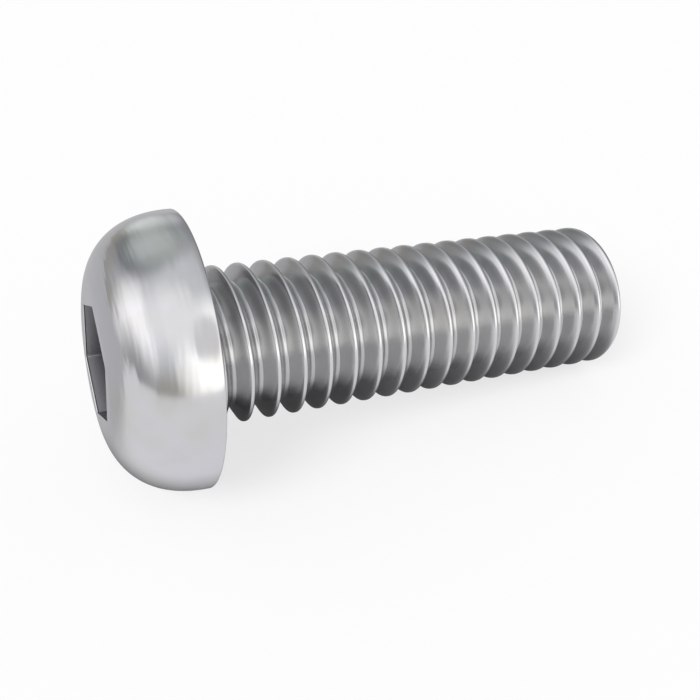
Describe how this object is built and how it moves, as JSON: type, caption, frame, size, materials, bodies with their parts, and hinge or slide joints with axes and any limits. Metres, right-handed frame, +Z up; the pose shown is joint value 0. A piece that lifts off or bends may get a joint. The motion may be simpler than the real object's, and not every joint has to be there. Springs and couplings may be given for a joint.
{
  "type": "button head screw",
  "caption": "Metric machine screw with a low domed head, a blind hexagon socket and a full-length right-hand thread, lying as it comes to rest.",
  "frame": {"origin": "middle of the bottom of the bounding box of the lying screw, on the surface that it rests on", "axes": "+Z up, +X along the screw from the head to the tip, which dips by 7.3 degrees, and +Y across it"},
  "size_m": [0.0218, 0.0104, 0.0103],
  "materials": {
    "bright_steel": "polished bright"
  },
  "bodies": {
    "root": {"button_head_screw": "bright_steel"}
  },
  "joints": []
}
